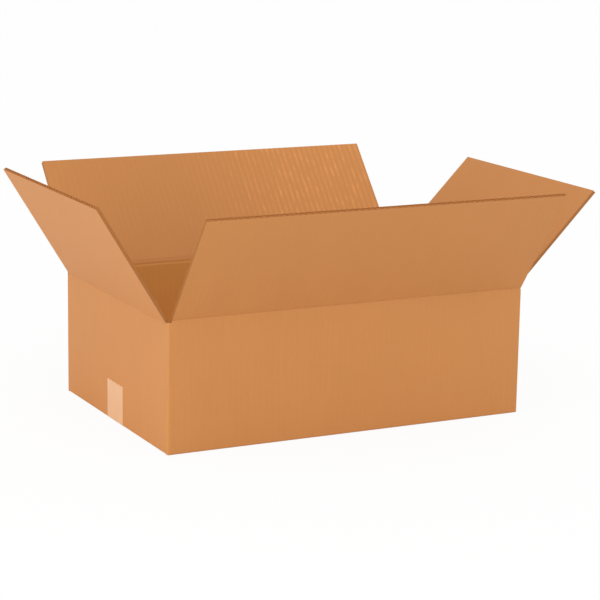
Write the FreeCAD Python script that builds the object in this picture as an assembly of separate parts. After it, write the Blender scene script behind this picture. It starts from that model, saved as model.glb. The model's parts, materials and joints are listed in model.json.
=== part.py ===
import FreeCAD, Part
import math
import os
from collections import namedtuple

# An open shipping carton of single-wall corrugated board: one folded and glued blank with four walls,
# four closed bottom flaps and four top flaps that stand open, and the tape over its bottom seam.
# Lengths are in millimetres and angles in degrees. X runs along the long walls, Y from the front wall
# to the back wall and Z up. The origin is on the floor, under the middle of the base.

# Carton
INSIDE_LENGTH = 457.0
INSIDE_WIDTH = 307.0
CREASE_HEIGHT = 154.0
BOARD = 4.0

# Corrugated section: two flat liners and the fluted paper between them
LINER = 0.4
MEDIUM = 0.35
FLUTE_PITCH = 7.8
FLUTE_CREST = 1.9
EDGE_GROOVE = 2.0

# Folds, slots and gaps
FOLD_RADIUS = 3.0
CRUSH_BAND = 9.0
SLOT_INSET = 5.0
SLOT_CLEARANCE = 0.3
JOINT_EDGE_INSET = 0.3
SEAM_GAP = 1.5
LAYER_GAP = 0.3
CREASE_GAP = 0.4
SHORT_FLAP_EXTRA = 2.0

# Glued joint at the front right corner
TAB_LENGTH = 35.0
TAB_TAPER = 9.0
TAB_END_GAP = 3.0
JOINT_FLAP_INSET = 13.0
GLUE_BITE = 0.2

# Tape over the bottom seam and up both end walls
TAPE_WIDTH = 48.0
TAPE_THICKNESS = 0.15
TAPE_LAP = 49.0
TAPE_TEETH = 8
TOOTH_DEPTH = 2.4

# How far each top flap leans out from upright
FRONT_LEAN = 35.5
BACK_LEAN = 41.0
LEFT_LEAN = 31.7
RIGHT_LEAN = 44.7

# Sizes worked out from the driving ones
half_length = INSIDE_LENGTH / 2 + BOARD
half_width = INSIDE_WIDTH / 2 + BOARD
flap_length = half_width - SEAM_GAP / 2
short_flap_length = flap_length + SHORT_FLAP_EXTRA
layer_step = BOARD + LAYER_GAP
major_crease = CREASE_HEIGHT + layer_step / 2
minor_crease = CREASE_HEIGHT - layer_step / 2
minor_base = layer_step
post_width = SLOT_INSET - SLOT_CLEARANCE
tape_plain_top = TAPE_LAP - 2 * TOOTH_DEPTH

# A panel is a wall with its two flaps. It is drawn as the front one, with its outer face at Y = -reach
# and its bottom flap from X = low to X = high, and then turned about Z to its own side. Its top flap
# starts at flap_low, which is further in at the glued joint. Its wall stands at the height foot and its
# bottom flap lies at the height base: the short ones lie on the long ones.
Panel = namedtuple("Panel", "name turn reach low high flap_low flap lean crease foot base fluted_bottom")
FRONT = Panel("front", 0, half_width, SLOT_INSET - half_length, half_length - JOINT_EDGE_INSET,
              SLOT_INSET - half_length, flap_length, FRONT_LEAN, major_crease, 0.0, 0.0, False)
RIGHT = Panel("right", 90, half_length, SLOT_INSET - half_width, half_width - SLOT_INSET,
              JOINT_FLAP_INSET - half_width, short_flap_length, RIGHT_LEAN, minor_crease,
              TAPE_THICKNESS, minor_base, True)
BACK = Panel("back", 180, half_width, SLOT_INSET - half_length, half_length - SLOT_INSET,
             SLOT_INSET - half_length, flap_length, BACK_LEAN, major_crease, 0.0, 0.0, False)
LEFT = Panel("left", 270, half_length, SLOT_INSET - half_width, half_width - SLOT_INSET,
             SLOT_INSET - half_width, short_flap_length, LEFT_LEAN, minor_crease,
             TAPE_THICKNESS, minor_base, True)
PANELS = [FRONT, RIGHT, BACK, LEFT]

ALONG_X = FreeCAD.Vector(1, 0, 0)
UP = FreeCAD.Vector(0, 0, 1)
CENTRE = FreeCAD.Vector(0, 0, 0)


def on_yz(y, z, x=0.0):
    return FreeCAD.Vector(x, y, z)


def on_xz(x, z, y=0.0):
    return FreeCAD.Vector(x, y, z)


def on_xy(x, y, z=0.0):
    return FreeCAD.Vector(x, y, z)


def rounded_face(corners):
    """Face inside a closed outline of (point, radius) corners, each radius a tangent arc."""
    edges = []
    stops = []
    for index, (corner, radius) in enumerate(corners):
        to_last = (corners[index - 1][0] - corner).normalize()
        to_next = (corners[(index + 1) % len(corners)][0] - corner).normalize()
        if radius == 0:
            stops.append((corner, None, corner))
            continue
        half_angle = to_last.getAngle(to_next) / 2
        tangent = radius / math.tan(half_angle)
        inward = (to_last + to_next).normalize()
        middle = corner + inward * (radius / math.sin(half_angle) - radius)
        stops.append((corner + to_last * tangent, middle, corner + to_next * tangent))
    for index, (start, middle, end) in enumerate(stops):
        edges.append(Part.makeLine(stops[index - 1][2], start))
        if middle is not None:
            edges.append(Part.Arc(start, middle, end).toShape())
    return Part.Face(Part.Wire(edges))


def face(points):
    return Part.Face(Part.makePolygon(points + points[:1]))


def block(low, high):
    return Part.makeBox(high[0] - low[0], high[1] - low[1], high[2] - low[2], FreeCAD.Vector(*low))


def join(solids):
    return solids[0].multiFuse(solids[1:]).removeSplitter()


def flute_shape():
    """Half widths of a flute at its base and crest, its depth, and the paper's thickness along X."""
    depth = BOARD - 2 * LINER - MEDIUM
    crest = FLUTE_CREST / 2
    slope_run = FLUTE_PITCH / 2 - FLUTE_CREST
    web = MEDIUM * math.hypot(depth, slope_run) / depth
    lift = MEDIUM / depth
    base = (FLUTE_PITCH / 2 - crest * (1 + lift) - web) / (1 - lift)
    return base, crest, depth, web


def fluted_board(low, high, start, end):
    """Flat board with open flutes along Y, from Z = 0 to the board's thickness, X low to high.

    Every half pitch a flute stands on the lower liner and then on the upper one. The side cuts open
    the outermost flutes into a groove between the two liners.
    """
    base, crest, depth, web = flute_shape()
    groove = EDGE_GROOVE
    top = BOARD - LINER
    outline = [on_xz(low, 0), on_xz(high, 0), on_xz(high, LINER), on_xz(high - groove, LINER),
               on_xz(high - groove, top), on_xz(high, top), on_xz(high, BOARD), on_xz(low, BOARD),
               on_xz(low, top), on_xz(low + groove, top), on_xz(low + groove, LINER), on_xz(low, LINER)]
    step = FLUTE_PITCH / 2
    count = int((high - low - 2 * (groove + web + base)) / step) + 1
    first = (low + high - (count - 1) * step) / 2
    wires = [Part.makePolygon(outline + outline[:1])]
    for index in range(count):
        middle = first + index * step
        wide_z, narrow_z = (LINER, LINER + depth) if index % 2 == 0 else (top, top - depth)
        flute = [on_xz(middle - base, wide_z), on_xz(middle + base, wide_z),
                 on_xz(middle + crest, narrow_z), on_xz(middle - crest, narrow_z)]
        wires.append(Part.makePolygon(flute + flute[:1]))
    section = Part.makeFace(wires, "Part::FaceMakerBullseye")
    section.translate(FreeCAD.Vector(0, start, 0))
    return section.extrude(FreeCAD.Vector(0, end - start, 0))


def top_flap(panel):
    """Top flap, drawn closed with its crease on the X axis and then opened to its lean.

    Its root is mitred, so that it can close inwards over the mitred top of the wall and fold right
    back outwards about the outer face. The flutes are crushed shut beside the crease.
    """
    low, high = panel.flap_low, panel.high
    root = face([on_yz(0, 0, low), on_yz(CRUSH_BAND, 0, low),
                 on_yz(CRUSH_BAND, -BOARD, low), on_yz(BOARD, -BOARD, low)])
    root = root.extrude(FreeCAD.Vector(high - low, 0, 0))
    board = fluted_board(low, high, CRUSH_BAND, panel.flap)
    board.translate(FreeCAD.Vector(0, 0, -BOARD))
    flap = join([root, board])
    flap.rotate(CENTRE, ALONG_X, 90 + panel.lean)
    flap.translate(FreeCAD.Vector(0, -panel.reach, panel.crease))
    flap.rotate(CENTRE, UP, panel.turn)
    return flap


def wall_with_bottom_flap(panel):
    """Wall between its two slots, folded at its foot into the closed bottom flap.

    A short wall reaches down past its flap, over the ends of the long flaps that this one lies on.
    """
    low = panel.low - SLOT_CLEARANCE
    high = panel.high + SLOT_CLEARANCE
    outer = -panel.reach
    inner = outer + BOARD
    free_edge = outer + panel.flap
    plain_end = outer + CRUSH_BAND if panel.fluted_bottom else free_edge
    corners = [(on_yz(outer, panel.foot, low), FOLD_RADIUS)]
    if panel.foot < panel.base:
        corners += [(on_yz(inner, panel.foot, low), 0), (on_yz(inner, panel.base, low), 0)]
    corners += [(on_yz(plain_end, panel.base, low), 0),
                (on_yz(plain_end, panel.base + BOARD, low), 0),
                (on_yz(inner, panel.base + BOARD, low), 0),
                (on_yz(inner, panel.crease - BOARD - CREASE_GAP, low), 0),
                (on_yz(outer, panel.crease - CREASE_GAP, low), 0)]
    pieces = [rounded_face(corners).extrude(FreeCAD.Vector(high - low, 0, 0))]
    if panel.fluted_bottom:
        board = fluted_board(low, high, plain_end, free_edge)
        board.translate(FreeCAD.Vector(0, 0, panel.base))
        pieces.append(board)
    solid = join(pieces)
    solid.rotate(CENTRE, UP, panel.turn)
    return solid


def corner_post(side_x, side_y):
    """Folded upright corner between two slots, rounded outside."""
    def plan(from_x, from_y):
        x = side_x * (half_length - from_x)
        y = side_y * (half_width - from_y)
        return on_xy(x, y)
    section = rounded_face([
        (plan(0, 0), FOLD_RADIUS), (plan(post_width, 0), 0), (plan(post_width, BOARD), 0),
        (plan(BOARD, BOARD), 0), (plan(BOARD, post_width), 0), (plan(0, post_width), 0)])
    return section.extrude(FreeCAD.Vector(0, 0, CREASE_HEIGHT))


def glue_tab():
    """Tab of the right wall, folded round and glued flat inside the front wall."""
    fold_x = half_length - BOARD
    front_inner = BOARD - half_width
    low = minor_base + BOARD + TAB_END_GAP
    high = minor_crease - BOARD - CREASE_GAP - TAB_END_GAP
    leg = face([on_xz(fold_x, low, front_inner), on_xz(fold_x, high, front_inner),
                on_xz(fold_x - TAB_LENGTH, high - TAB_TAPER, front_inner),
                on_xz(fold_x - TAB_LENGTH, low + TAB_TAPER, front_inner)])
    leg = leg.extrude(FreeCAD.Vector(0, BOARD, 0))
    strip_top = minor_crease - BOARD - CREASE_GAP
    strip = block((fold_x, front_inner, RIGHT.foot), (half_length, post_width - half_width, strip_top))
    return leg, strip


def joint_groove():
    """Space outside the tab's fold, behind the raw edge of the front wall."""
    start_y = BOARD - half_width
    centre_x = half_length - FOLD_RADIUS
    centre_y = start_y + FOLD_RADIUS - GLUE_BITE
    square = block((centre_x, start_y, BOARD), (half_length + BOARD, centre_y, CREASE_HEIGHT))
    fold = Part.makeCylinder(FOLD_RADIUS, CREASE_HEIGHT, FreeCAD.Vector(centre_x, centre_y, 0))
    return square.cut(fold)


def joint_slot():
    """Slot that frees the front bottom flap from the right wall's foot, at the glued joint."""
    return block((half_length - post_width, post_width - half_width, 0), (half_length, 0, BOARD))


def tape_seat():
    """Space of the tape that is pressed flush into the underside."""
    return block((-half_length, -TAPE_WIDTH / 2, 0), (half_length, TAPE_WIDTH / 2, TAPE_THICKNESS))


def carton_body():
    """Four walls, the glued joint and the four closed bottom flaps, as one folded blank."""
    front, right, back, left = [wall_with_bottom_flap(panel) for panel in PANELS]
    pieces = [front.cut(joint_slot()), right, back, left]
    pieces += [corner_post(-1, -1), corner_post(-1, 1), corner_post(1, 1)]
    pieces += glue_tab()
    return join(pieces).cut(tape_seat()).cut(joint_groove()).removeSplitter()


def tape_end(side):
    """Torn end of the tape on an end wall: a strip whose upper edge is a row of teeth."""
    valley = TAPE_LAP - TOOTH_DEPTH
    tooth = TAPE_WIDTH / TAPE_TEETH
    x = side * half_length
    points = [on_yz(TAPE_WIDTH / 2, tape_plain_top, x), on_yz(-TAPE_WIDTH / 2, tape_plain_top, x)]
    for index in range(TAPE_TEETH):
        left = index * tooth - TAPE_WIDTH / 2
        points += [on_yz(left, valley, x), on_yz(left + tooth / 2, TAPE_LAP, x)]
    points.append(on_yz(TAPE_WIDTH / 2, valley, x))
    return face(points).extrude(FreeCAD.Vector(side * TAPE_THICKNESS, 0, 0))


def bottom_tape():
    """Tape along the bottom seam, turned up both end walls round the folds at their feet."""
    bend = FOLD_RADIUS
    y = -TAPE_WIDTH / 2
    outer = half_length + TAPE_THICKNESS
    ribbon = rounded_face([
        (on_xz(-outer, tape_plain_top, y), 0),
        (on_xz(-outer, 0, y), bend + TAPE_THICKNESS),
        (on_xz(outer, 0, y), bend + TAPE_THICKNESS),
        (on_xz(outer, tape_plain_top, y), 0),
        (on_xz(half_length, tape_plain_top, y), 0),
        (on_xz(half_length, TAPE_THICKNESS, y), bend),
        (on_xz(-half_length, TAPE_THICKNESS, y), bend),
        (on_xz(-half_length, tape_plain_top, y), 0)])
    ribbon = ribbon.extrude(FreeCAD.Vector(0, TAPE_WIDTH, 0))
    return join([ribbon, tape_end(-1), tape_end(1)])


def build():
    nodes = {"carton_body": carton_body(), "bottom_tape": bottom_tape()}
    for panel in PANELS:
        nodes[panel.name + "_flap"] = top_flap(panel)
    return nodes


os.makedirs("parts", exist_ok=True)
for name, shape in build().items():
    shape.exportStep("parts/" + name + ".step")
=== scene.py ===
import json
import math

import bmesh
import bpy
from bpy.props import FloatProperty, FloatVectorProperty, IntProperty, PointerProperty
from mathutils import Matrix, Vector


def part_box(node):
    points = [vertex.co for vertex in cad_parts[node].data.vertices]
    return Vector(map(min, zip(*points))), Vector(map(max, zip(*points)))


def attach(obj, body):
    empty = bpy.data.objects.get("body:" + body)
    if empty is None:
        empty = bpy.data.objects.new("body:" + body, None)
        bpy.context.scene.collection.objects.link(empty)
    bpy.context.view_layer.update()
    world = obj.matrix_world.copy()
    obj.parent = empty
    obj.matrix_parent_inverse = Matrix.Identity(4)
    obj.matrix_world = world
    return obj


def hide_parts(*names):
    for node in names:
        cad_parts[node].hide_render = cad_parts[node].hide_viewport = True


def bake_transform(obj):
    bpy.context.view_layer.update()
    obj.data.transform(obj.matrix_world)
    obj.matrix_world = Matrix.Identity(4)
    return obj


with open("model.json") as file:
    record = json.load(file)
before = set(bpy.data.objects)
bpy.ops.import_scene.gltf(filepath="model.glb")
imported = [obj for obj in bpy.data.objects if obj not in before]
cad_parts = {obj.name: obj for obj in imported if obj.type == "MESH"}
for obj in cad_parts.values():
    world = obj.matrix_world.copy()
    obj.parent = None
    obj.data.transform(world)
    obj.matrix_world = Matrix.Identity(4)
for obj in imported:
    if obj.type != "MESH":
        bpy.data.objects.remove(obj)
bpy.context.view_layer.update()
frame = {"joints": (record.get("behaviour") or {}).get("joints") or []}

# An open shipping carton of corrugated board. Every board is two flat liners with a wave of fluted paper between
# them. The walls and the closed bottom flaps are one piece. Each top flap is a piece with a band of the wall
# below its crease, which holds the bent crease.
# Lengths are in metres, in the frame of the imported model.

bl_info = {
    "name": "Open carton",
    "version": (1, 0, 0),
    "blender": (4, 5, 0),
    "location": "3D View > Sidebar > Carton",
    "description": "Corrugated shipping carton with open top flaps and a taped bottom",
    "category": "Object",
}

MM = 0.001

# Sizes of the carton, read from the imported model
BODY_LOW, BODY_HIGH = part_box("carton_body")
TAPE_LOW, TAPE_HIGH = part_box("bottom_tape")
HALF_LENGTH = BODY_HIGH.x
HALF_WIDTH = BODY_HIGH.y
POST_TOP = 154.0 * MM
POST_FOOT = 0.6 * MM
BOARD = 4.0 * MM
MINOR_BASE = 4.3 * MM
PANEL_PITCH = HALF_LENGTH + HALF_WIDTH

# Corrugated section
LINER = 0.4 * MM
MEDIUM = 0.35 * MM
FLUTE_PITCH = 7.8 * MM
FLUTE_STEPS = 8
FLUTE_RECESS = 0.05 * MM
FLUTE_DEPTH = 1.3 * MM

# Folds and slots
FOLD_RADIUS = 2.0 * MM
FOLD_STEPS = 5
TAPE_BEND_STEPS = 6
POST_WIDTH = 4.7 * MM
SLOT_CLEARANCE = 0.3 * MM
BAND_DEPTH = 14.0 * MM
UNDERSIDE = 0.15 * MM

# Crease of a top flap: how deep the score is outside, and how far the board is crushed inside. The
# rows are distances from the crease on both sides of it. The flap's inner finish runs on past the
# crease for a few rows, and the wall's full width starts at the shoulder.
SCORE_DEPTH = 0.3 * MM
SCORE_SPREAD = 1.6 * MM
CREASE_BOARD = 3.3 * MM
CREASE_CORE = 0.5 * MM
CREASE_REACH = 3.5 * MM
CREASE_BEND = 1.8 * MM
BEND_REACH = 3.0 * MM
SHOULDER = 1.2 * MM
CREASE_WRAP = 3
CREASE_ROWS = [0.5, 1.0, 1.5, 2.0, 2.5, 3.0, 3.6, 4.3, 5.0, 5.7]

# Stretch of the back panel, in metres along the blank, over which the painted highlights on its inside flutes
# and the painted light there fade out
PAINTED_GLINT_FULL = 0.62
PAINTED_GLINT_GONE = 0.86

# Glued joint at the front right corner
TAB_LENGTH = 35.0 * MM
TAB_TAPER = 9.0 * MM
TAB_LOW = 11.3 * MM
TAB_HIGH = 144.4 * MM

# Camera, fitted to the corners of the carton in the photograph
CAMERA_PLACE = Vector((-1.15460, -2.28282, 0.68864))
CAMERA_YAW = math.radians(27.083)
CAMERA_PITCH = math.radians(-12.334)
CAMERA_ROLL = math.radians(0.965)
CAMERA_LENS = 127.704
SENSOR_WIDTH = 36.0

# Lamps and floor
SIDE_PLACE = (-2.8, -0.6, 0.5)
SIDE_SIZE = 1.2
HIGH_PLACE = (-0.6, -2.2, 2.4)
HIGH_SIZE = 1.4
LAMP_AIM = (0, 0, 0.12)
FLOOR_SIZE = 30
FLOOR_DROP = 0.2 * MM

# Grain of the papers and the tape: cycles per metre along the two directions of the blank, or along
# the three axes on the tape
FIBRE_GRAIN = (900, 120, 1)
STREAK_GRAIN = (260, 16, 1)
CLOUD_GRAIN = (26, 9, 1)
# Noise that breaks up the painted highlights on the back panel's flutes
GLINT_BREAK_GRAIN = (170, 60, 1)
CUT_GRAIN = (1400, 500, 1)
TAPE_LINE_GRAIN = (9, 700, 9)
TAPE_CLOUD_GRAIN = (60, 60, 60)

# Painted highlights where flutes catch the light: how narrow their ridges are, how broken and how bright, and
# how much painted light lifts that stretch
RIDGE_POWER = 3.0
GLINT_BREAK_GAIN = 1.5
GLINT_BREAK_POWER = 5.0
RIDGE_GLINT = 0.42
PAINTED_LIGHT_LIFT = 0.09

OUTSIDE, INSIDE, CUT, PAPER, WALL_INSIDE = 0, 1, 2, 3, 4


class Side:
    """One side of the carton: a wall with its two flaps, drawn as the front one and then turned."""

    def __init__(self, name, order, reach, flap_low, flap_high, base):
        joint = next(j for j in frame["joints"] if j["name"] == name + "_flap_hinge")
        self.name = name
        self.turn = order * math.pi / 2
        self.u_middle = order * PANEL_PITCH
        self.reach = reach
        self.flap_low = flap_low
        self.flap_high = flap_high
        corner = PANEL_PITCH - reach - POST_WIDTH
        joined = name == "front"
        self.wall_low = -corner
        self.wall_high = flap_high + SLOT_CLEARANCE if joined else corner
        self.base = base
        self.crease = joint["pos_m"][2]
        self.lean = math.radians(-joint["range_deg"][0] - 90)
        self.flap_length = flap_reach(name)
        self.seam = self.crease - BAND_DEPTH

    def hinge(self):
        return Vector((0, -self.reach, self.crease))

    def up_the_flap(self):
        return Vector((0, -math.sin(self.lean), math.cos(self.lean)))


def flap_reach(name):
    """Length of a flap from its crease to its free edge, from the free edge's height and lean."""
    joint = next(j for j in frame["joints"] if j["name"] == name + "_flap_hinge")
    lean = math.radians(-joint["range_deg"][0] - 90)
    low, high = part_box(name + "_flap")
    return (high.z - joint["pos_m"][2] - BOARD * math.sin(lean)) / math.cos(lean)


def flap_span(name, axis, sign):
    low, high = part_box(name + "_flap")
    ends = sorted([sign * low[axis], sign * high[axis]])
    return ends[0], ends[1]


SIDES = [
    Side("front", 0, HALF_WIDTH, *flap_span("front", 0, 1), UNDERSIDE),
    Side("right", 1, HALF_LENGTH, *flap_span("right", 1, 1), MINOR_BASE),
    Side("back", 2, HALF_WIDTH, *flap_span("back", 0, -1), UNDERSIDE),
    Side("left", 3, HALF_LENGTH, *flap_span("left", 1, -1), MINOR_BASE),
]


# Modelling helpers

def select_only(piece):
    bpy.ops.object.select_all(action="DESELECT")
    piece.select_set(True)
    bpy.context.view_layer.objects.active = piece


def pick(piece, kind, test):
    """In edit mode, selects the vertices, edges or faces whose middle passes the test."""
    bpy.ops.mesh.select_mode(type=kind)
    bpy.ops.mesh.select_all(action="DESELECT")
    mesh = bmesh.from_edit_mesh(piece.data)
    if kind == "VERT":
        for vertex in mesh.verts:
            vertex.select = test(vertex.co)
    elif kind == "EDGE":
        for edge in mesh.edges:
            edge.select = all(test(vertex.co) for vertex in edge.verts)
    else:
        for face in mesh.faces:
            face.select = test(face.calc_center_median())
    mesh.select_flush_mode()
    bmesh.update_edit_mesh(piece.data)


def sweep(name, section, low, high, finishes):
    """Closed solid whose section is drawn in Y and Z: an edge along X is extruded from point to point.

    Each stretch of the section has its own finish, and the two ends are raw edges.
    """
    start, second = Vector((0, *section[0])), Vector((0, *section[1]))
    bpy.ops.object.select_all(action="DESELECT")
    bpy.ops.mesh.primitive_plane_add(size=1, location=(0, 0, 0))
    piece = bpy.context.object
    piece.name = name
    piece.data.name = name
    bpy.ops.object.mode_set(mode="EDIT")
    bpy.ops.transform.resize(value=(high - low, (second - start).length, 1))
    slope = math.atan2(second.z - start.z, second.y - start.y)
    middle = (start + second) / 2 + Vector(((low + high) / 2, 0, 0))
    mesh = bmesh.from_edit_mesh(piece.data)
    place = Matrix.Translation(middle) @ Matrix.Rotation(slope, 4, "X")
    bmesh.ops.transform(mesh, matrix=place, verts=mesh.verts)
    bmesh.update_edit_mesh(piece.data)
    pick(piece, "EDGE", lambda co: (Vector((0, co.y, co.z)) - second).length < 1e-6)
    for before, after in zip(section[1:], section[2:]):
        step = (0, after[0] - before[0], after[1] - before[1])
        bpy.ops.mesh.extrude_region_move(TRANSFORM_OT_translate={"value": step})
    bpy.ops.mesh.select_all(action="DESELECT")
    mesh = bmesh.from_edit_mesh(piece.data)
    for edge in mesh.edges:
        across = abs(edge.verts[0].co.x - edge.verts[1].co.x) > 0.5 * (high - low)
        edge.select = across and edge.is_boundary
    bmesh.update_edit_mesh(piece.data)
    bpy.ops.mesh.edge_face_add()
    for end in (low, high):
        pick(piece, "EDGE", lambda co: abs(co.x - end) < 1e-6)
        bpy.ops.mesh.edge_face_add()
    bpy.ops.mesh.select_all(action="SELECT")
    bpy.ops.mesh.normals_make_consistent(inside=False)
    bpy.ops.object.mode_set(mode="OBJECT")
    lay_finishes(piece, finishes)
    return piece


def lay_finishes(piece, finishes, rest=CUT):
    """Gives a board its materials. Faces past the listed ones get the rest's finish, a raw cut."""
    for material in board_materials():
        piece.data.materials.append(material)
    for index, polygon in enumerate(piece.data.polygons):
        polygon.material_index = finishes[index] if index < len(finishes) else rest


def fluting(name, low, high, start, end):
    """Wave of fluted paper, its flutes along Y, from X low to high, standing on Z = 0."""
    height = BOARD - 2 * LINER
    swing = (height - MEDIUM) / 2
    step = FLUTE_PITCH / FLUTE_STEPS
    count = math.ceil((high - low) / FLUTE_PITCH) + 1
    bpy.ops.object.select_all(action="DESELECT")
    bpy.ops.mesh.primitive_plane_add(size=1, location=(0, 0, 0))
    piece = bpy.context.object
    piece.name = name
    bpy.ops.object.mode_set(mode="EDIT")
    bpy.ops.transform.resize(value=(step, end - start, 1))
    wave = [swing * math.cos(2 * math.pi * index / FLUTE_STEPS) for index in range(FLUTE_STEPS + 1)]
    bpy.ops.transform.translate(value=(low - step, (start + end) / 2, LINER + height / 2 + wave[0]))
    mesh = bmesh.from_edit_mesh(piece.data)
    right = max(vertex.co.x for vertex in mesh.verts)
    pick(piece, "EDGE", lambda co: abs(co.x - right) < 1e-7)
    bpy.ops.transform.translate(value=(0, 0, wave[1] - wave[0]))
    for before, after in zip(wave[1:], wave[2:]):
        bpy.ops.mesh.extrude_region_move(TRANSFORM_OT_translate={"value": (step, 0, after - before)})
    bpy.ops.object.mode_set(mode="OBJECT")
    repeat = piece.modifiers.new("Repeat", "ARRAY")
    repeat.count = count
    repeat.use_relative_offset = False
    repeat.use_constant_offset = True
    repeat.constant_offset_displace = (FLUTE_PITCH, 0, 0)
    repeat.use_merge_vertices = True
    repeat.merge_threshold = 1e-5
    bpy.ops.object.modifier_apply(modifier="Repeat")
    bpy.ops.object.mode_set(mode="EDIT")
    for place, outward in ((low, -1), (high, 1)):
        bpy.ops.mesh.select_all(action="SELECT")
        bpy.ops.mesh.bisect(plane_co=(place, 0, 0), plane_no=(outward, 0, 0), clear_outer=True)
    bpy.ops.object.mode_set(mode="OBJECT")
    paper = piece.modifiers.new("Paper", "SOLIDIFY")
    paper.thickness = MEDIUM
    paper.offset = 0
    paper.use_even_offset = True
    bpy.ops.object.modifier_apply(modifier="Paper")
    bpy.ops.object.mode_set(mode="EDIT")
    bpy.ops.mesh.select_all(action="SELECT")
    bpy.ops.mesh.normals_make_consistent(inside=False)
    bpy.ops.object.mode_set(mode="OBJECT")
    lay_finishes(piece, [], PAPER)
    return piece


def place_mesh(piece, matrix):
    """Moves a finished mesh and leaves its object at the origin."""
    piece.matrix_world = matrix
    select_only(piece)
    bpy.ops.object.transform_apply(location=True, rotation=True, scale=True)


def unroll(piece, side):
    """UV map in metres on the flat blank: U round the walls, V up them and on along the flaps."""
    layer = piece.data.uv_layers.get("blank") or piece.data.uv_layers.new(name="blank")
    hinge = side.hinge()
    flap = side.up_the_flap()
    foot = side.base + BOARD + MM
    for loop in piece.data.loops:
        co = piece.data.vertices[loop.vertex_index].co
        if co.z > side.crease - BOARD / 2:
            v = side.crease + (co - hinge).dot(flap)
        elif co.z < foot and co.y > BOARD + MM - side.reach:
            v = side.base - (co.y + side.reach)
        else:
            v = co.z
        layer.data[loop.index].uv = (side.u_middle + co.x, v)


def unroll_corner(piece):
    """UV map of an upright corner strip, continued from the two walls beside it."""
    layer = piece.data.uv_layers.get("blank") or piece.data.uv_layers.new(name="blank")
    for polygon in piece.data.polygons:
        centre = polygon.center
        beside_end = abs(polygon.normal.x) > abs(polygon.normal.y)
        for index in polygon.loop_indices:
            co = piece.data.vertices[piece.data.loops[index].vertex_index].co
            if beside_end:
                u = PANEL_PITCH + co.y if centre.x > 0 else 3 * PANEL_PITCH - co.y
            else:
                u = co.x if centre.y < 0 else 2 * PANEL_PITCH - co.x
            layer.data[index].uv = (u, co.z)


def join(pieces, name):
    bpy.ops.object.select_all(action="DESELECT")
    for piece in pieces:
        piece.select_set(True)
    bpy.context.view_layer.objects.active = pieces[0]
    bpy.ops.object.join()
    pieces[0].name = name
    pieces[0].data.name = name
    return pieces[0]


def shade(piece, smooth_angle):
    select_only(piece)
    bpy.ops.object.shade_smooth_by_angle(angle=smooth_angle)


def arc(centre, radius, start, end, steps):
    """Points of an arc in Y and Z, angles from +Y towards +Z."""
    points = []
    for index in range(steps + 1):
        angle = start + (end - start) * index / steps
        points.append((centre[0] + radius * math.cos(angle), centre[1] + radius * math.sin(angle)))
    return points


def smooth(share):
    share = min(1.0, max(0.0, share))
    return share * share * (3 - 2 * share)


# Boards

def wall_section(side):
    """Outline of a wall and its bottom flap, from the seam down the outside and back up the inside."""
    outer = -side.reach
    inner = outer + BOARD
    free_edge = outer + side.flap_length
    plain_end = free_edge - FLUTE_DEPTH
    base = side.base
    short = side.base > UNDERSIDE
    top = base + BOARD if short else BOARD
    fold_centre = (outer + FOLD_RADIUS, UNDERSIDE + FOLD_RADIUS)
    slot = outer + POST_WIDTH
    points = [(outer, side.seam)] + arc(fold_centre, FOLD_RADIUS, math.pi, 1.5 * math.pi, FOLD_STEPS)
    points += [(inner, UNDERSIDE), (inner, base)] if short else [(slot, base), (slot + SLOT_CLEARANCE, base)]
    finishes = [OUTSIDE] * (len(points) - 1)
    points += [(free_edge, base), (free_edge, base + LINER), (plain_end, base + LINER),
               (plain_end, top - LINER), (free_edge, top - LINER), (free_edge, top)]
    finishes += [OUTSIDE, CUT, PAPER, PAPER, PAPER, CUT]
    points += [(slot + SLOT_CLEARANCE, top), (slot, top), (inner, top), (inner, side.seam)]
    finishes += [WALL_INSIDE] * 4
    return points, finishes


def wall(side):
    """Wall and closed bottom flap of one side, with the fluted paper in the flap."""
    points, finishes = wall_section(side)
    board = sweep(side.name + "_wall", points, side.wall_low, side.wall_high, finishes)
    if side.name == "front":
        cut_joint_slot(board, side)
    unroll(board, side)
    flutes = fluting(side.name + "_bottom_flutes", side.wall_low, side.wall_high - slot_trim(side),
                     side.flap_length - FLUTE_DEPTH, side.flap_length - FLUTE_RECESS)
    place_mesh(flutes, Matrix.Translation((0, -side.reach, side.base)))
    unroll(flutes, side)
    return board, flutes


def slot_trim(side):
    """Width that the front bottom flap loses at the glued joint, beside the right wall's foot."""
    return POST_WIDTH if side.name == "front" else 0.0


def cut_joint_slot(board, side):
    select_only(board)
    bpy.ops.object.mode_set(mode="EDIT")
    slot_end = POST_WIDTH + SLOT_CLEARANCE / 2 - side.reach
    pick(board, "VERT", lambda co: co.x > side.wall_high - MM and co.y > slot_end)
    bpy.ops.transform.translate(value=(-slot_trim(side), 0, 0))
    bpy.ops.object.mode_set(mode="OBJECT")


def corner_post(side_x, side_y):
    """Folded upright corner between two slots, rounded outside."""
    radius = FOLD_RADIUS
    fold = arc((radius, radius), radius, math.pi, 1.5 * math.pi, FOLD_STEPS)
    points = [(0, POST_WIDTH)] + fold
    points += [(POST_WIDTH, 0), (POST_WIDTH, BOARD), (BOARD, BOARD), (BOARD, POST_WIDTH)]
    finishes = [OUTSIDE] * (FOLD_STEPS + 2) + [CUT, WALL_INSIDE, WALL_INSIDE, CUT]
    post = sweep("post", points, POST_FOOT, POST_TOP, finishes)
    upright = Matrix(((0, -side_x, 0, side_x * HALF_LENGTH), (0, 0, -side_y, side_y * HALF_WIDTH),
                      (1, 0, 0, 0), (0, 0, 0, 1)))
    place_mesh(post, upright)
    mend_normals(post)
    unroll_corner(post)
    return post


def mend_normals(piece):
    select_only(piece)
    bpy.ops.object.mode_set(mode="EDIT")
    bpy.ops.mesh.select_all(action="SELECT")
    bpy.ops.mesh.normals_make_consistent(inside=False)
    bpy.ops.object.mode_set(mode="OBJECT")


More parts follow.
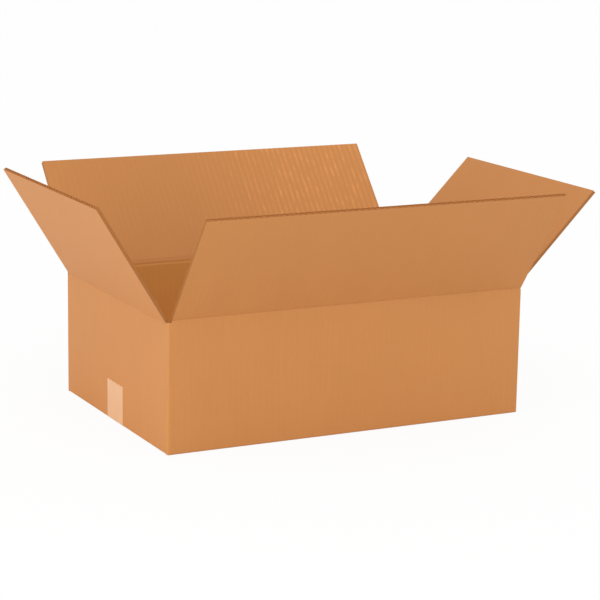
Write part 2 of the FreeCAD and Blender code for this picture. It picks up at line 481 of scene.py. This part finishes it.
def glue_tab():
    """Tab of the right wall, folded round behind the front wall and glued to it."""
    fold_x = HALF_LENGTH - BOARD
    face_y = BOARD - HALF_WIDTH
    far_x = fold_x - TAB_LENGTH
    fold = arc((HALF_LENGTH - FOLD_RADIUS, face_y + FOLD_RADIUS), FOLD_RADIUS, 0, -math.pi / 2, FOLD_STEPS)
    inner_y = face_y + BOARD
    plan = [(HALF_LENGTH, inner_y)] + fold + [(far_x, face_y), (far_x, inner_y)]
    finishes = [OUTSIDE] * (len(plan) - 2) + [CUT, WALL_INSIDE]
    tab = sweep("tab", [(-x, y) for x, y in plan], TAB_LOW, TAB_HIGH, finishes)
    upright = Matrix(((0, -1, 0, 0), (0, 0, 1, 0), (1, 0, 0, 0), (0, 0, 0, 1)))
    place_mesh(tab, upright)
    select_only(tab)
    bpy.ops.object.mode_set(mode="EDIT")
    pick(tab, "VERT", lambda co: co.x < far_x + MM)
    middle = (TAB_LOW + TAB_HIGH) / 2
    shrink = 1 - 2 * TAB_TAPER / (TAB_HIGH - TAB_LOW)
    bpy.ops.transform.resize(value=(1, 1, shrink), center_override=(far_x, face_y, middle))
    bpy.ops.object.mode_set(mode="OBJECT")
    mend_normals(tab)
    unroll_corner(tab)
    return tab


def crease_point(side, along, depth):
    """Place of a point near the crease: so far past it along the board, so deep under its outer face."""
    share = smooth((along + CREASE_BEND) / (2 * CREASE_BEND))
    angle = side.lean * share
    outward = Vector((0, -math.sin(angle), math.cos(angle)))
    inward = Vector((0, math.cos(angle), math.sin(angle)))
    return (-side.reach + outward.y * along + inward.y * depth,
            side.crease + outward.z * along + inward.z * depth)


def outer_depth(along):
    return SCORE_DEPTH * math.exp(-(along / SCORE_SPREAD) ** 2)


def inner_depth(along):
    share = smooth((abs(along) - CREASE_CORE) / (CREASE_REACH - CREASE_CORE))
    return CREASE_BOARD + (BOARD - CREASE_BOARD) * share


def flap_section(side):
    """Outline of the wall's upper band and the top flap, up the outside and back down the inside."""
    rows = [row * MM for row in CREASE_ROWS]
    stations = [-row for row in reversed(rows)] + [0.0] + rows
    points = [(-side.reach, side.seam)]
    points += [crease_point(side, along, outer_depth(along)) for along in stations]
    finishes = [OUTSIDE] * (len(points) - 1)
    length = side.flap_length
    plain_end = length - FLUTE_DEPTH
    fork = [(length, 0), (length, LINER), (plain_end, LINER), (plain_end, BOARD - LINER),
            (length, BOARD - LINER), (length, BOARD)]
    points += [crease_point(side, along, depth) for along, depth in fork]
    finishes += [OUTSIDE, CUT, PAPER, PAPER, PAPER, CUT]
    points += [crease_point(side, along, inner_depth(along)) for along in reversed(stations)]
    points.append((BOARD - side.reach, side.seam))
    finishes += [INSIDE] * (len(rows) + CREASE_WRAP) + [WALL_INSIDE] * (len(rows) + 2 - CREASE_WRAP)
    return points, finishes


def top_flap(side, smooth_angle):
    points, finishes = flap_section(side)
    board = sweep(side.name + "_flap_board", points, side.flap_low, side.flap_high, finishes)
    widen_band(board, side)
    flutes = fluting(side.name + "_flutes", side.flap_low, side.flap_high,
                     side.flap_length - FLUTE_DEPTH, side.flap_length - FLUTE_RECESS)
    opened = Matrix.Rotation(math.pi / 2 + side.lean, 4, "X")
    inside_out = Matrix.Translation((0, 0, -BOARD))
    place_mesh(flutes, Matrix.Translation(side.hinge()) @ opened @ inside_out)
    flap = join([board, flutes], side.name + "_top_flap")
    unroll(flap, side)
    turned = Matrix.Rotation(side.turn, 4, "Z")
    place_mesh(flap, turned)
    shade(flap, smooth_angle)
    start = turned @ (side.hinge() - Vector((0, 0, BEND_REACH)))
    end = turned @ (side.hinge() + side.up_the_flap() * BEND_REACH)
    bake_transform(flap)
    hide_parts(side.name + "_flap")
    return flap


def widen_band(board, side):
    """Widens the band below the crease to the wall's width, which is more than the flap's."""
    select_only(board)
    bpy.ops.object.mode_set(mode="EDIT")
    below = side.crease - SHOULDER
    for flap_end, wall_end in ((side.flap_low, side.wall_low), (side.flap_high, side.wall_high)):
        pick(board, "VERT", lambda co: abs(co.x - flap_end) < 1e-6 and co.z < below)
        bpy.ops.transform.translate(value=(wall_end - flap_end, 0, 0))
    bpy.ops.object.mode_set(mode="OBJECT")


def carton(smooth_angle):
    """Walls, corners, glue tab and closed bottom flaps, as one folded blank."""
    pieces = []
    for side in SIDES:
        turned = Matrix.Rotation(side.turn, 4, "Z")
        for piece in wall(side):
            place_mesh(piece, turned)
            pieces.append(piece)
    pieces += [corner_post(-1, -1), corner_post(-1, 1), corner_post(1, 1), glue_tab()]
    body = join(pieces, "carton")
    shade(body, smooth_angle)
    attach(body, "carton")
    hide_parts("carton_body")
    return body


# Tape

def tape(settings, material):
    """Tape along the bottom seam and up both end walls, its torn ends finely toothed."""
    reach = HALF_LENGTH + settings.tape_thickness
    bend = FOLD_RADIUS + settings.tape_thickness
    top = TAPE_HIGH.z
    near = arc((-reach + bend, bend), bend, math.pi, 1.5 * math.pi, TAPE_BEND_STEPS)
    far = arc((reach - bend, bend), bend, 1.5 * math.pi, 2 * math.pi, TAPE_BEND_STEPS)
    path = [(-reach, top)] + near + far + [(reach, top)]
    width = TAPE_HIGH.y - TAPE_LOW.y
    bpy.ops.object.select_all(action="DESELECT")
    bpy.ops.mesh.primitive_plane_add(size=1, location=(0, 0, 0))
    piece = bpy.context.object
    bpy.ops.object.mode_set(mode="EDIT")
    length = path[0][1] - path[1][1]
    bpy.ops.transform.resize(value=(length, width, 1))
    mesh = bmesh.from_edit_mesh(piece.data)
    upright = Matrix.Translation((-reach, 0, top - length / 2)) @ Matrix.Rotation(math.pi / 2, 4, "Y")
    bmesh.ops.transform(mesh, matrix=upright, verts=mesh.verts)
    bmesh.update_edit_mesh(piece.data)
    low_end = path[1][1]
    pick(piece, "EDGE", lambda co: abs(co.z - low_end) < 1e-6)
    for before, after in zip(path[1:], path[2:]):
        step = (after[0] - before[0], 0, after[1] - before[1])
        bpy.ops.mesh.extrude_region_move(TRANSFORM_OT_translate={"value": step})
    pick(piece, "EDGE", lambda co: abs(co.z - top) < 1e-6)
    bpy.ops.mesh.subdivide(number_cuts=2 * settings.tape_teeth - 1)
    tooth = width / settings.tape_teeth
    pick(piece, "VERT", lambda co: abs(co.z - top) < 1e-6
         and round(2 * (co.y + width / 2) / tooth) % 2 == 0)
    bpy.ops.transform.translate(value=(0, 0, -settings.tooth_depth))
    bpy.ops.mesh.select_all(action="SELECT")
    bpy.ops.mesh.normals_make_consistent(inside=False)
    bpy.ops.object.mode_set(mode="OBJECT")
    film = piece.modifiers.new("Film", "SOLIDIFY")
    film.thickness = settings.tape_thickness
    film.offset = -1
    film.use_even_offset = True
    bpy.ops.object.modifier_apply(modifier="Film")
    mend_normals(piece)
    piece.name = "tape_over_seam"
    piece.data.materials.append(material)
    shade(piece, settings.smooth_angle)
    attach(piece, "carton")
    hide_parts("bottom_tape")
    return piece


# Materials

def new_material(name):
    material = bpy.data.materials.new(name)
    material.use_nodes = True
    nodes, links = material.node_tree.nodes, material.node_tree.links
    return material, nodes, links, nodes["Principled BSDF"]


def mapped(nodes, links, source, scale, location=(0, 0, 0)):
    mapping = nodes.new("ShaderNodeMapping")
    mapping.inputs["Scale"].default_value = scale
    mapping.inputs["Location"].default_value = location
    links.new(source, mapping.inputs["Vector"])
    return mapping.outputs["Vector"]


def noise(nodes, links, vector, scale, detail=2.0, roughness=0.5):
    node = nodes.new("ShaderNodeTexNoise")
    node.inputs["Scale"].default_value = scale
    node.inputs["Detail"].default_value = detail
    node.inputs["Roughness"].default_value = roughness
    links.new(vector, node.inputs["Vector"])
    return node.outputs["Fac"]


def maths(nodes, links, operation, *values):
    node = nodes.new("ShaderNodeMath")
    node.operation = operation
    for socket, value in zip(node.inputs, values):
        if isinstance(value, (int, float)):
            socket.default_value = value
        else:
            links.new(value, socket)
    return node.outputs["Value"]


def around(nodes, links, value, swing):
    """A factor near 1 from a noise value near one half: 1 + (value - 0.5) * 2 * swing."""
    return maths(nodes, links, "MULTIPLY_ADD", value, 2 * swing, 1 - swing)


def shaded(nodes, links, colour, factor):
    """The colour times a factor that varies over the surface."""
    node = nodes.new("ShaderNodeVectorMath")
    node.operation = "SCALE"
    node.inputs[0].default_value = colour
    links.new(factor, node.inputs["Scale"])
    return node.outputs["Vector"]


def painted_flute_glints(nodes, links, uv, wave):
    """Painted highlights and painted light on the back panel's inside, where its flutes catch the light towards
    its right end.
    """
    along = nodes.new("ShaderNodeSeparateXYZ")
    links.new(uv, along.inputs["Vector"])
    ramp = nodes.new("ShaderNodeMapRange")
    ramp.interpolation_type = "SMOOTHSTEP"
    ramp.inputs["From Min"].default_value = PAINTED_GLINT_FULL
    ramp.inputs["From Max"].default_value = PAINTED_GLINT_GONE
    ramp.inputs["To Min"].default_value = 1.0
    ramp.inputs["To Max"].default_value = 0.0
    links.new(along.outputs["X"], ramp.inputs["Value"])
    on_back = maths(nodes, links, "GREATER_THAN", along.outputs["X"], PANEL_PITCH + HALF_WIDTH)
    share = maths(nodes, links, "MULTIPLY", ramp.outputs["Result"], on_back)
    glint_break = noise(nodes, links, mapped(nodes, links, uv, GLINT_BREAK_GRAIN, (5, 9, 0)), 1.0, 3.0, 0.65)
    broken = maths(nodes, links, "POWER", maths(nodes, links, "MULTIPLY", glint_break, GLINT_BREAK_GAIN), GLINT_BREAK_POWER)
    ridge = maths(nodes, links, "MULTIPLY", maths(nodes, links, "POWER", wave, RIDGE_POWER), broken)
    glint = maths(nodes, links, "MULTIPLY_ADD", ridge, RIDGE_GLINT, PAINTED_LIGHT_LIFT)
    return maths(nodes, links, "MULTIPLY_ADD", share, glint, 1.0)


def kraft(name, colour, mottle, streaks, washboard_bump_and_shade, roughness, painted_glints=False):
    """Kraft paper liner: vertical fibre streaks, soft clouds, and the flutes showing through as a bump and as
    painted light and shade in stripes, with painted highlights on the back panel's inside if asked.
    """
    material, nodes, links, shader = new_material(name)
    blank = nodes.new("ShaderNodeUVMap")
    blank.uv_map = "blank"
    uv = blank.outputs["UV"]
    fibres = noise(nodes, links, mapped(nodes, links, uv, FIBRE_GRAIN), 1.0, 3.0, 0.6)
    streak = noise(nodes, links, mapped(nodes, links, uv, STREAK_GRAIN, (3, 7, 0)), 1.0, 4.0, 0.6)
    clouds = noise(nodes, links, mapped(nodes, links, uv, CLOUD_GRAIN, (11, 5, 0)), 1.0, 3.0, 0.55)
    tone = maths(nodes, links, "MULTIPLY", around(nodes, links, streak, streaks),
                 around(nodes, links, clouds, mottle))
    tone = maths(nodes, links, "MULTIPLY", tone, around(nodes, links, fibres, streaks))
    flute = nodes.new("ShaderNodeTexWave")
    flute.wave_type = "BANDS"
    flute.bands_direction = "X"
    flute.wave_profile = "SIN"
    flute.inputs["Scale"].default_value = 1.0
    flute.inputs["Distortion"].default_value = 0.0
    bands_per_metre = 2 * math.pi / FLUTE_PITCH / 20
    links.new(mapped(nodes, links, uv, (bands_per_metre, 0, 0)), flute.inputs["Vector"])
    # Painted light and shade in stripes at the flute pitch, for the shading of the liner sunk between the
    # flutes; the same amount also drives the bump
    tone = maths(nodes, links, "MULTIPLY", tone, around(nodes, links, flute.outputs["Fac"], washboard_bump_and_shade))
    # Painted highlights on the flute ridges and painted light towards the back panel's right end
    if painted_glints:
        glint = painted_flute_glints(nodes, links, uv, flute.outputs["Fac"])
        tone = maths(nodes, links, "MULTIPLY", tone, glint)
    links.new(shaded(nodes, links, colour, tone), shader.inputs["Base Color"])
    shader.inputs["Roughness"].default_value = roughness
    shader.inputs["IOR"].default_value = 1.45
    relief = maths(nodes, links, "MULTIPLY_ADD", flute.outputs["Fac"], 4 * washboard_bump_and_shade, fibres)
    bump = nodes.new("ShaderNodeBump")
    bump.inputs["Strength"].default_value = 0.35
    bump.inputs["Distance"].default_value = 0.0001
    links.new(relief, bump.inputs["Height"])
    links.new(bump.outputs["Normal"], shader.inputs["Normal"])
    return material


def raw_edge(name, colour):
    """Cut edge of the board, or the fluted paper inside it: rough, with torn fibres."""
    material, nodes, links, shader = new_material(name)
    blank = nodes.new("ShaderNodeUVMap")
    blank.uv_map = "blank"
    uv = blank.outputs["UV"]
    fibres = noise(nodes, links, mapped(nodes, links, uv, CUT_GRAIN), 1.0, 3.0, 0.6)
    links.new(shaded(nodes, links, colour, around(nodes, links, fibres, 0.14)), shader.inputs["Base Color"])
    shader.inputs["Roughness"].default_value = 0.9
    shader.inputs["Specular IOR Level"].default_value = 0.2
    bump = nodes.new("ShaderNodeBump")
    bump.inputs["Strength"].default_value = 0.5
    bump.inputs["Distance"].default_value = 0.00015
    links.new(fibres, bump.inputs["Height"])
    links.new(bump.outputs["Normal"], shader.inputs["Normal"])
    return material


def film(name, colour):
    """Tan packing tape: a thin film with a soft gloss, fine lines along it and a few small ripples."""
    material, nodes, links, shader = new_material(name)
    place = nodes.new("ShaderNodeTexCoord")
    spot = place.outputs["Object"]
    lines = noise(nodes, links, mapped(nodes, links, spot, TAPE_LINE_GRAIN), 1.0, 2.0, 0.5)
    clouds = noise(nodes, links, mapped(nodes, links, spot, TAPE_CLOUD_GRAIN), 1.0, 3.0, 0.55)
    tone = maths(nodes, links, "MULTIPLY", around(nodes, links, lines, 0.03), around(nodes, links, clouds, 0.05))
    links.new(shaded(nodes, links, colour, tone), shader.inputs["Base Color"])
    shader.inputs["Roughness"].default_value = 0.32
    bump = nodes.new("ShaderNodeBump")
    bump.inputs["Strength"].default_value = 0.3
    bump.inputs["Distance"].default_value = 0.0002
    links.new(clouds, bump.inputs["Height"])
    links.new(bump.outputs["Normal"], shader.inputs["Normal"])
    return material


def white_where_seen(name, share):
    """Matt white, mostly plain white where the camera sees it, with the object's shadow kept."""
    material, nodes, links, shader = new_material(name)
    shader.inputs["Base Color"].default_value = (0.9, 0.9, 0.9, 1)
    shader.inputs["Roughness"].default_value = 1.0
    shader.inputs["Specular IOR Level"].default_value = 0.0
    glow = nodes.new("ShaderNodeEmission")
    glow.inputs["Color"].default_value = (1, 1, 1, 1)
    glow.inputs["Strength"].default_value = 1.0
    seen = nodes.new("ShaderNodeLightPath")
    mix = nodes.new("ShaderNodeMixShader")
    links.new(maths(nodes, links, "MULTIPLY", seen.outputs["Is Camera Ray"], share), mix.inputs["Fac"])
    links.new(shader.outputs["BSDF"], mix.inputs[1])
    links.new(glow.outputs["Emission"], mix.inputs[2])
    links.new(mix.outputs["Shader"], nodes["Material Output"].inputs["Surface"])
    return material


def board_materials():
    """The board's five materials, in the order of the finishes, made when first asked for."""
    settings = bpy.context.scene.carton_board
    names = ("kraft_outside", "kraft_inside", "board_cut", "fluted_paper", "kraft_wall_inside_painted_light")
    found = [bpy.data.materials.get(name) for name in names]
    if None not in found:
        return found
    return [
        kraft(names[0], settings.outside_colour, mottle=0.03, streaks=0.028, washboard_bump_and_shade=0.004, roughness=0.62),
        kraft(names[1], settings.inside_colour, mottle=0.03, streaks=0.03, washboard_bump_and_shade=0.01, roughness=0.7,
              painted_glints=True),
        raw_edge(names[2], settings.cut_colour),
        raw_edge(names[3], settings.paper_colour),
        # The walls' inner liner in a lighter colour than the same paper on the flaps: painted light inside the
        # box
        kraft(names[4], settings.wall_inside_painted_light_colour, mottle=0.03, streaks=0.03, washboard_bump_and_shade=0.01, roughness=0.7),
    ]


# Add-on

class CartonBoardSettings(bpy.types.PropertyGroup):
    outside_colour: FloatVectorProperty(
        name="Outside", description="Colour of the outer liner", subtype="COLOR", size=3,
        default=(0.57, 0.236, 0.064), min=0, max=1)
    inside_colour: FloatVectorProperty(
        name="Inside", description="Colour of the inner liner", subtype="COLOR", size=3,
        default=(0.535, 0.219, 0.058), min=0, max=1)
    # Lighter than the flaps' inner liner, which is the same paper: painted light inside the box, whose walls lie
    # in shade
    wall_inside_painted_light_colour: FloatVectorProperty(
        name="Inside of the walls", description="Colour of the inner liner below the creases",
        subtype="COLOR", size=3, default=(0.62, 0.290, 0.070), min=0, max=1)
    cut_colour: FloatVectorProperty(
        name="Cuts", description="Colour of the liners' and the board's cut edges", subtype="COLOR",
        size=3, default=(0.38, 0.15, 0.042), min=0, max=1)
    paper_colour: FloatVectorProperty(
        name="Fluted paper", description="Colour of the fluted paper between the liners",
        subtype="COLOR", size=3, default=(0.54, 0.23, 0.07), min=0, max=1)
    smooth_angle: FloatProperty(
        name="Smooth up to", description="Largest angle between faces that is shaded smooth",
        subtype="ANGLE", default=math.radians(32))


class CartonTapeSettings(bpy.types.PropertyGroup):
    colour: FloatVectorProperty(
        name="Tape", description="Colour of the packing tape", subtype="COLOR", size=3,
        default=(0.74, 0.42, 0.215), min=0, max=1)
    tape_thickness: FloatProperty(
        name="Thickness", description="Thickness of the tape", unit="LENGTH", default=0.15 * MM)
    tape_teeth: IntProperty(
        name="Teeth", description="Teeth across each torn end", default=6, min=2)
    tooth_depth: FloatProperty(
        name="Tooth depth", description="Depth of the torn teeth", unit="LENGTH", default=1.8 * MM)
    smooth_angle: FloatProperty(
        name="Smooth up to", description="Largest angle between faces that is shaded smooth",
        subtype="ANGLE", default=math.radians(30))


class CartonStageSettings(bpy.types.PropertyGroup):
    side_power: FloatProperty(
        name="Side light", description="Power of the soft light at the left", unit="POWER", default=20.0)
    high_power: FloatProperty(
        name="High light", description="Power of the soft light high in front", unit="POWER", default=18.0)
    world_strength: FloatProperty(
        name="Room light", description="Strength of the even light from all round", default=0.92)
    floor_white: FloatProperty(
        name="White floor", description="Share of plain white in what the camera sees of the floor",
        default=0.93, min=0, max=1)


class CARTON_OT_body(bpy.types.Operator):
    """Model the walls, corners, glue tab and closed bottom flaps"""
    bl_idname = "carton.body"
    bl_label = "Carton body"

    def execute(self, context):
        carton(context.scene.carton_board.smooth_angle)
        return {"FINISHED"}


class CARTON_OT_top_flaps(bpy.types.Operator):
    """Model the four top flaps with their creases"""
    bl_idname = "carton.top_flaps"
    bl_label = "Top flaps"

    def execute(self, context):
        for side in SIDES:
            top_flap(side, context.scene.carton_board.smooth_angle)
        return {"FINISHED"}


class CARTON_OT_tape(bpy.types.Operator):
    """Model the tape over the bottom seam"""
    bl_idname = "carton.tape"
    bl_label = "Bottom tape"

    def execute(self, context):
        settings = context.scene.carton_tape
        tape(settings, film("packing_tape", settings.colour))
        return {"FINISHED"}


class CARTON_OT_stage(bpy.types.Operator):
    """Set the floor, the light and the camera"""
    bl_idname = "carton.stage"
    bl_label = "Stage"

    def execute(self, context):
        settings = context.scene.carton_stage
        set_floor(settings)
        set_light(context, settings)
        set_camera(context)
        return {"FINISHED"}


def set_floor(settings):
    bpy.ops.object.select_all(action="DESELECT")
    bpy.ops.mesh.primitive_plane_add(size=FLOOR_SIZE, location=(0, 0, -FLOOR_DROP))
    floor = bpy.context.object
    floor.name = "floor"
    floor.data.materials.append(white_where_seen("floor_white", settings.floor_white))


def soft_lamp(context, name, place, target, size, power):
    data = bpy.data.lights.new(name, "AREA")
    data.shape = "SQUARE"
    data.size = size
    data.energy = power
    lamp = bpy.data.objects.new(name, data)
    context.scene.collection.objects.link(lamp)
    lamp.location = place
    lamp.rotation_mode = "QUATERNION"
    lamp.rotation_quaternion = (Vector(target) - Vector(place)).to_track_quat("-Z", "Y")


def set_light(context, settings):
    soft_lamp(context, "side_light", SIDE_PLACE, LAMP_AIM, SIDE_SIZE, settings.side_power)
    soft_lamp(context, "high_light", HIGH_PLACE, LAMP_AIM, HIGH_SIZE, settings.high_power)
    world = bpy.data.worlds.new("room")
    context.scene.world = world
    world.use_nodes = True
    nodes, links = world.node_tree.nodes, world.node_tree.links
    background = nodes["Background"]
    background.inputs["Color"].default_value = (1, 1, 1, 1)
    background.inputs["Strength"].default_value = settings.world_strength
    white = nodes.new("ShaderNodeBackground")
    white.inputs["Strength"].default_value = 1.0
    white.inputs["Color"].default_value = (1, 1, 1, 1)
    seen = nodes.new("ShaderNodeLightPath")
    mix = nodes.new("ShaderNodeMixShader")
    links.new(seen.outputs["Is Camera Ray"], mix.inputs["Fac"])
    links.new(background.outputs["Background"], mix.inputs[1])
    links.new(white.outputs["Background"], mix.inputs[2])
    links.new(mix.outputs["Shader"], nodes["World Output"].inputs["Surface"])
    context.scene.view_settings.view_transform = "Standard"


def set_camera(context):
    """Camera at the photograph's viewing angle, from its fitted place, yaw, pitch and roll."""
    data = bpy.data.cameras.new("camera")
    data.sensor_width = SENSOR_WIDTH
    data.lens = CAMERA_LENS
    camera = bpy.data.objects.new("camera", data)
    context.scene.collection.objects.link(camera)
    forward = Vector((math.sin(CAMERA_YAW) * math.cos(CAMERA_PITCH),
                      math.cos(CAMERA_YAW) * math.cos(CAMERA_PITCH), math.sin(CAMERA_PITCH)))
    level = Vector((math.cos(CAMERA_YAW), -math.sin(CAMERA_YAW), 0))
    above = level.cross(forward)
    right = level * math.cos(CAMERA_ROLL) + above * math.sin(CAMERA_ROLL)
    up = above * math.cos(CAMERA_ROLL) - level * math.sin(CAMERA_ROLL)
    turn = Matrix((right, up, -forward)).transposed()
    camera.matrix_world = Matrix.Translation(CAMERA_PLACE) @ turn.to_4x4()
    context.scene.camera = camera


class CARTON_PT_panel(bpy.types.Panel):
    """Sizes, colours and steps of the carton"""
    bl_idname = "CARTON_PT_panel"
    bl_label = "Carton"
    bl_space_type = "VIEW_3D"
    bl_region_type = "UI"
    bl_category = "Carton"

    def draw(self, context):
        for group in (context.scene.carton_board, context.scene.carton_tape, context.scene.carton_stage):
            for name in group.__annotations__:
                self.layout.prop(group, name)
        for operator in OPERATORS:
            self.layout.operator(operator.bl_idname)


OPERATORS = (CARTON_OT_body, CARTON_OT_top_flaps, CARTON_OT_tape, CARTON_OT_stage)
CLASSES = (CartonBoardSettings, CartonTapeSettings, CartonStageSettings) + OPERATORS + (CARTON_PT_panel,)


def register():
    for item in CLASSES:
        bpy.utils.register_class(item)
    bpy.types.Scene.carton_board = PointerProperty(type=CartonBoardSettings)
    bpy.types.Scene.carton_tape = PointerProperty(type=CartonTapeSettings)
    bpy.types.Scene.carton_stage = PointerProperty(type=CartonStageSettings)


def unregister():
    del bpy.types.Scene.carton_stage
    del bpy.types.Scene.carton_tape
    del bpy.types.Scene.carton_board
    for item in reversed(CLASSES):
        bpy.utils.unregister_class(item)


def main():
    register()
    bpy.ops.carton.body()
    bpy.ops.carton.top_flaps()
    bpy.ops.carton.tape()
    bpy.ops.carton.stage()


if __name__ == "__main__":
    main()
